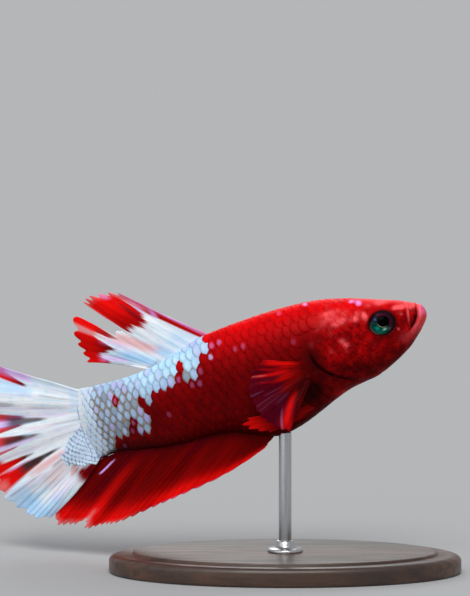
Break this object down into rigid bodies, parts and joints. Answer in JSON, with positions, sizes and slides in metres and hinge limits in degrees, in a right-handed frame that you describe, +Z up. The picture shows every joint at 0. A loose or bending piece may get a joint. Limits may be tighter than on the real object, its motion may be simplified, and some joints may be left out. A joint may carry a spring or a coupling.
{
  "type": "betta fish with display stand",
  "caption": "Short-finned male betta fish in a swimming pose with its tail swept aside, red with pale blue scales, as a still life-size model on a plain rod stand.",
  "frame": {"origin": "centre of the underside of the display base", "axes": "+X the way the fish heads, +Y the fish's left, +Z up"},
  "size_m": [0.0634, 0.0302, 0.0349],
  "materials": {
    "red_skin": "moist scaled fish skin, deep red, with pale blue iridescent scales over the tail stalk",
    "pale_fin": "thin fin membrane over white and ice-blue rays, red towards the margin",
    "red_fin": "thin red fin membrane with branching rays and a brighter margin",
    "eye": "glossy fish eye with a black pupil and a teal and purple iris",
    "stand_wood": "dark stained wood, satin",
    "stand_steel": "satin steel rod"
  },
  "bodies": {
    "root": {"head": "red_skin", "jaw_lower": "red_skin", "gill_cover_right": "red_skin", "gill_cover_left": "red_skin", "trunk": "red_skin", "tail_stalk": "red_skin", "fin_dorsal": "pale_fin", "fin_caudal": "pale_fin", "fin_anal": "red_fin", "fin_pectoral_right": "red_fin", "fin_pectoral_left": "red_fin", "fin_pelvic_right": "red_fin", "fin_pelvic_left": "red_fin", "eye_right": "eye", "eye_left": "eye", "stand_base": "stand_wood", "stand_rod": "stand_steel"}
  },
  "joints": []
}
